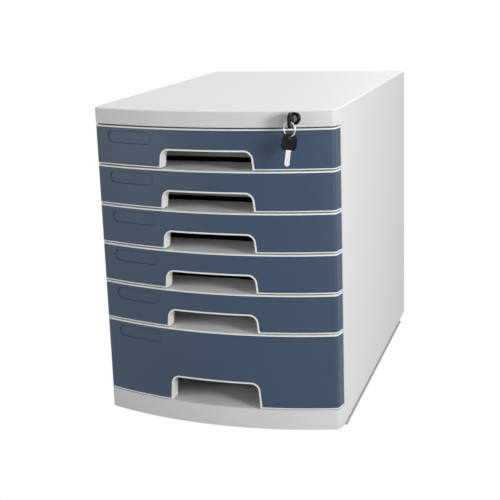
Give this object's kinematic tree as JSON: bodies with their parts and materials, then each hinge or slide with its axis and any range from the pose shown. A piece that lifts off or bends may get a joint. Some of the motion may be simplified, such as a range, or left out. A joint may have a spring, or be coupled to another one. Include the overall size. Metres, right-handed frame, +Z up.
{
  "type": "desktop file drawer",
  "caption": "Lockable desktop cabinet with shallow drawers over a deep one, bowed fronts with finger notches and label recesses, a cam lock and hanging spare key",
  "frame": {"origin": "middle of the plinth's footprint, on the underside of the plinth", "axes": "+Z up, the bowed front with its drawers faces -Y, +X to the right as seen from the front"},
  "size_m": [0.29, 0.4601, 0.369],
  "materials": {
    "shell_plastic": "fine-grained moulded light grey plastic",
    "frame_plastic": "smooth moulded light grey plastic",
    "panel_plastic": "satin slate blue plastic",
    "tray_plastic": "plain moulded grey plastic",
    "lock_black": "black coated zinc",
    "lock_steel": "plated steel",
    "key_plastic": "black moulded key head",
    "zinc_plate": "zinc plated sheet",
    "foot_rubber": "matt black rubber"
  },
  "bodies": {
    "root": {"top_cover": "shell_plastic", "side_panel_left": "shell_plastic", "side_panel_right": "shell_plastic", "back_panel": "shell_plastic", "base_plinth": "shell_plastic", "foot_pads": "foot_rubber", "casing_screws": "lock_steel", "back_screws": "lock_steel", "lock_body": "lock_black", "lock_clip": "zinc_plate", "bar_guides": "frame_plastic"},
    "lock_plug": {"lock_plug": "lock_steel", "lock_cam": "zinc_plate", "cam_screw": "lock_steel", "key_blade": "lock_steel", "key_bow": "key_plastic"},
    "locking_bar": {"locking_bar": "zinc_plate", "bar_hooks": "zinc_plate"},
    "key_ring": {"key_ring": "lock_steel"},
    "spare_key": {"spare_key_blade": "lock_steel", "spare_key_bow": "key_plastic"},
    "drawer_1": {"drawer_frame_1": "frame_plastic", "drawer_panel_1": "panel_plastic", "drawer_tray_1": "tray_plastic", "frame_screws_1": "lock_steel"},
    "drawer_2": {"drawer_frame_2": "frame_plastic", "drawer_panel_2": "panel_plastic", "drawer_tray_2": "tray_plastic", "frame_screws_2": "lock_steel"},
    "drawer_3": {"drawer_frame_3": "frame_plastic", "drawer_panel_3": "panel_plastic", "drawer_tray_3": "tray_plastic", "frame_screws_3": "lock_steel"},
    "drawer_4": {"drawer_frame_4": "frame_plastic", "drawer_panel_4": "panel_plastic", "drawer_tray_4": "tray_plastic", "frame_screws_4": "lock_steel"},
    "drawer_5": {"drawer_frame_5": "frame_plastic", "drawer_panel_5": "panel_plastic", "drawer_tray_5": "tray_plastic", "frame_screws_5": "lock_steel"},
    "drawer_6": {"drawer_frame_6": "frame_plastic", "drawer_panel_6": "panel_plastic", "drawer_tray_6": "tray_plastic", "frame_screws_6": "lock_steel"}
  },
  "joints": [
    {"name": "drawer_1_slide", "type": "slide", "parent": "root", "child": "drawer_1", "axis": [0, -1, 0], "range_m": [0, 0.35]},
    {"name": "drawer_2_slide", "type": "slide", "parent": "root", "child": "drawer_2", "axis": [0, -1, 0], "range_m": [0, 0.35]},
    {"name": "drawer_3_slide", "type": "slide", "parent": "root", "child": "drawer_3", "axis": [0, -1, 0], "range_m": [0, 0.35]},
    {"name": "drawer_4_slide", "type": "slide", "parent": "root", "child": "drawer_4", "axis": [0, -1, 0], "range_m": [0, 0.35]},
    {"name": "drawer_5_slide", "type": "slide", "parent": "root", "child": "drawer_5", "axis": [0, -1, 0], "range_m": [0, 0.35]},
    {"name": "drawer_6_slide", "type": "slide", "parent": "root", "child": "drawer_6", "axis": [0, -1, 0], "range_m": [0, 0.35]},
    {"name": "lock_turn", "type": "hinge", "parent": "root", "child": "lock_plug", "pos_m": [0.1, -0.2101, 0.3594], "axis": [0, -1, 0], "range_deg": [0, 90]},
    {"name": "locking_bar_lift", "type": "slide", "parent": "root", "child": "locking_bar", "axis": [0, 0, 1], "range_m": [0, 0.00707]},
    {"name": "ring_swing", "type": "hinge", "parent": "lock_plug", "child": "key_ring", "pos_m": [0.1, -0.2304, 0.3583], "axis": [-0.9063, 0.4226, 0], "range_deg": [-5, 100]},
    {"name": "spare_key_swing", "type": "hinge", "parent": "key_ring", "child": "spare_key", "pos_m": [0.1, -0.2304, 0.3427], "axis": [-0.9063, 0.4226, 0], "range_deg": [-6, 60]}
  ],
  "couplings": [
    {"joint": "lock_turn", "follows": "locking_bar_lift", "rad_per_m": 222.14}
  ]
}
